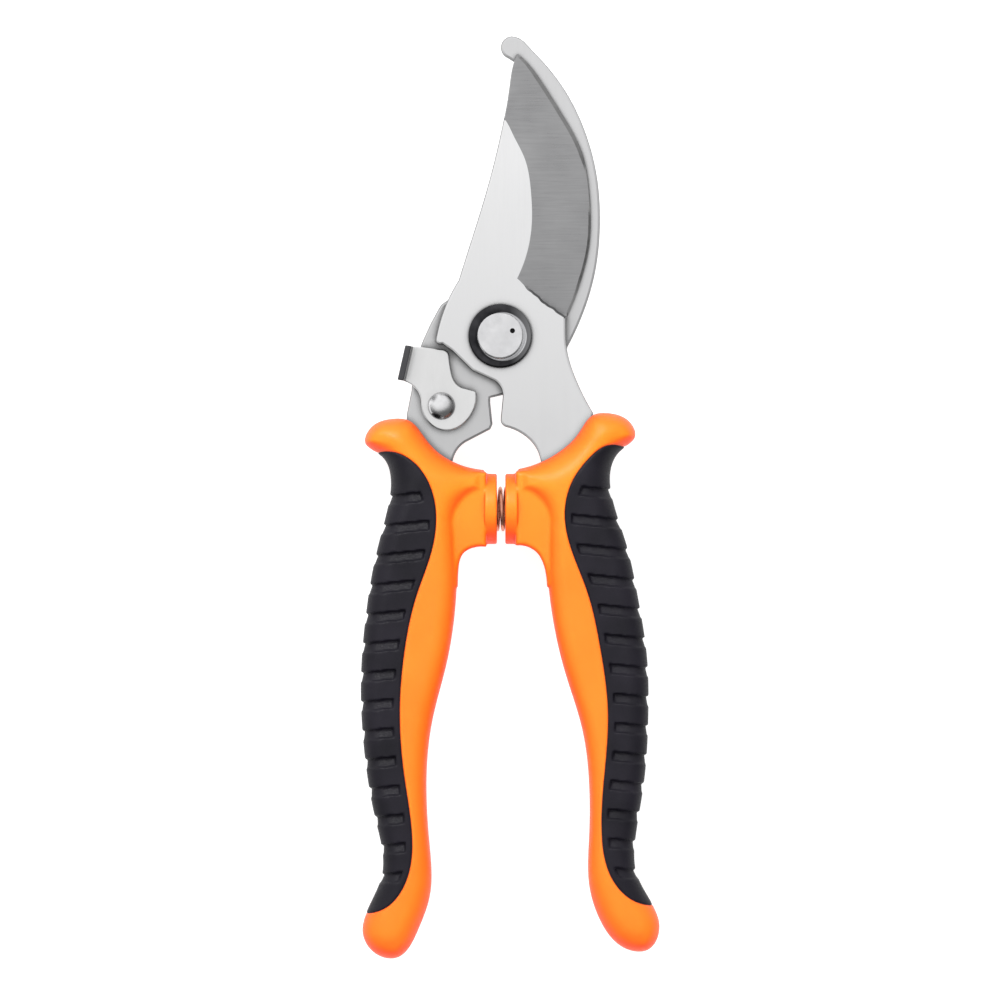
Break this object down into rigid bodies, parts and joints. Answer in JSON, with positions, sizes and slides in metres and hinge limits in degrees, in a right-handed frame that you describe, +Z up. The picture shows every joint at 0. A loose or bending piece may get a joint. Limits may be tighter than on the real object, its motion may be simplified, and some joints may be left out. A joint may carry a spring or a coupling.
{
  "type": "bypass pruner",
  "caption": "Hand-held bypass pruner with a curved cutting blade, hooked counter blade, thumb latch, coil spring and rubber-faced moulded handles.",
  "frame": {"origin": "bottom centre of the closed pruner's box, on the surface that it lies on", "axes": "+Y towards the blade tip, +Z up out of the front face along the pivot, +X towards the cutting edge"},
  "size_m": [0.0646, 0.1992, 0.018],
  "materials": {
    "hook_steel": "satin",
    "blade_steel": "brushed",
    "latch_steel": "satin",
    "bright_steel": "polished",
    "dark_steel": "polished",
    "plain_steel": "satin",
    "bronze": "satin",
    "copper_spring": "polished",
    "orange_plastic": "satin",
    "black_rubber": "matte"
  },
  "bodies": {
    "hook_half": {"counter_blade": "hook_steel", "left_handle": "orange_plastic", "left_grip": "black_rubber", "left_tang_pins": "plain_steel", "left_spring_post": "plain_steel", "pivot_bolt": "bright_steel", "pivot_ring": "dark_steel", "thrust_washer": "bronze", "rear_washer": "plain_steel", "pivot_nut": "plain_steel", "latch_rivet": "bright_steel", "latch_washer": "plain_steel", "tail_washer": "plain_steel", "spring": "copper_spring"},
    "blade_half": {"cutting_blade": "blade_steel", "right_handle": "orange_plastic", "right_grip": "black_rubber", "right_tang_pins": "plain_steel", "right_spring_post": "plain_steel", "pivot_bush": "bronze"},
    "latch": {"latch_plate": "latch_steel"}
  },
  "joints": [
    {"name": "pivot", "type": "hinge", "parent": "hook_half", "child": "blade_half", "pos_m": [-0.00215, 0.03478, 0.009], "axis": [0, 0, 1], "range_deg": [0, 25], "deforming": ["spring"]},
    {"name": "latch_turn", "type": "hinge", "parent": "hook_half", "child": "latch", "pos_m": [-0.01485, 0.01968, 0.01], "axis": [0, 0, 1], "range_deg": [0, 40]}
  ],
  "couplings": [
    {"joint": "latch_turn", "follows": "pivot", "ratio": 1.6}
  ]
}
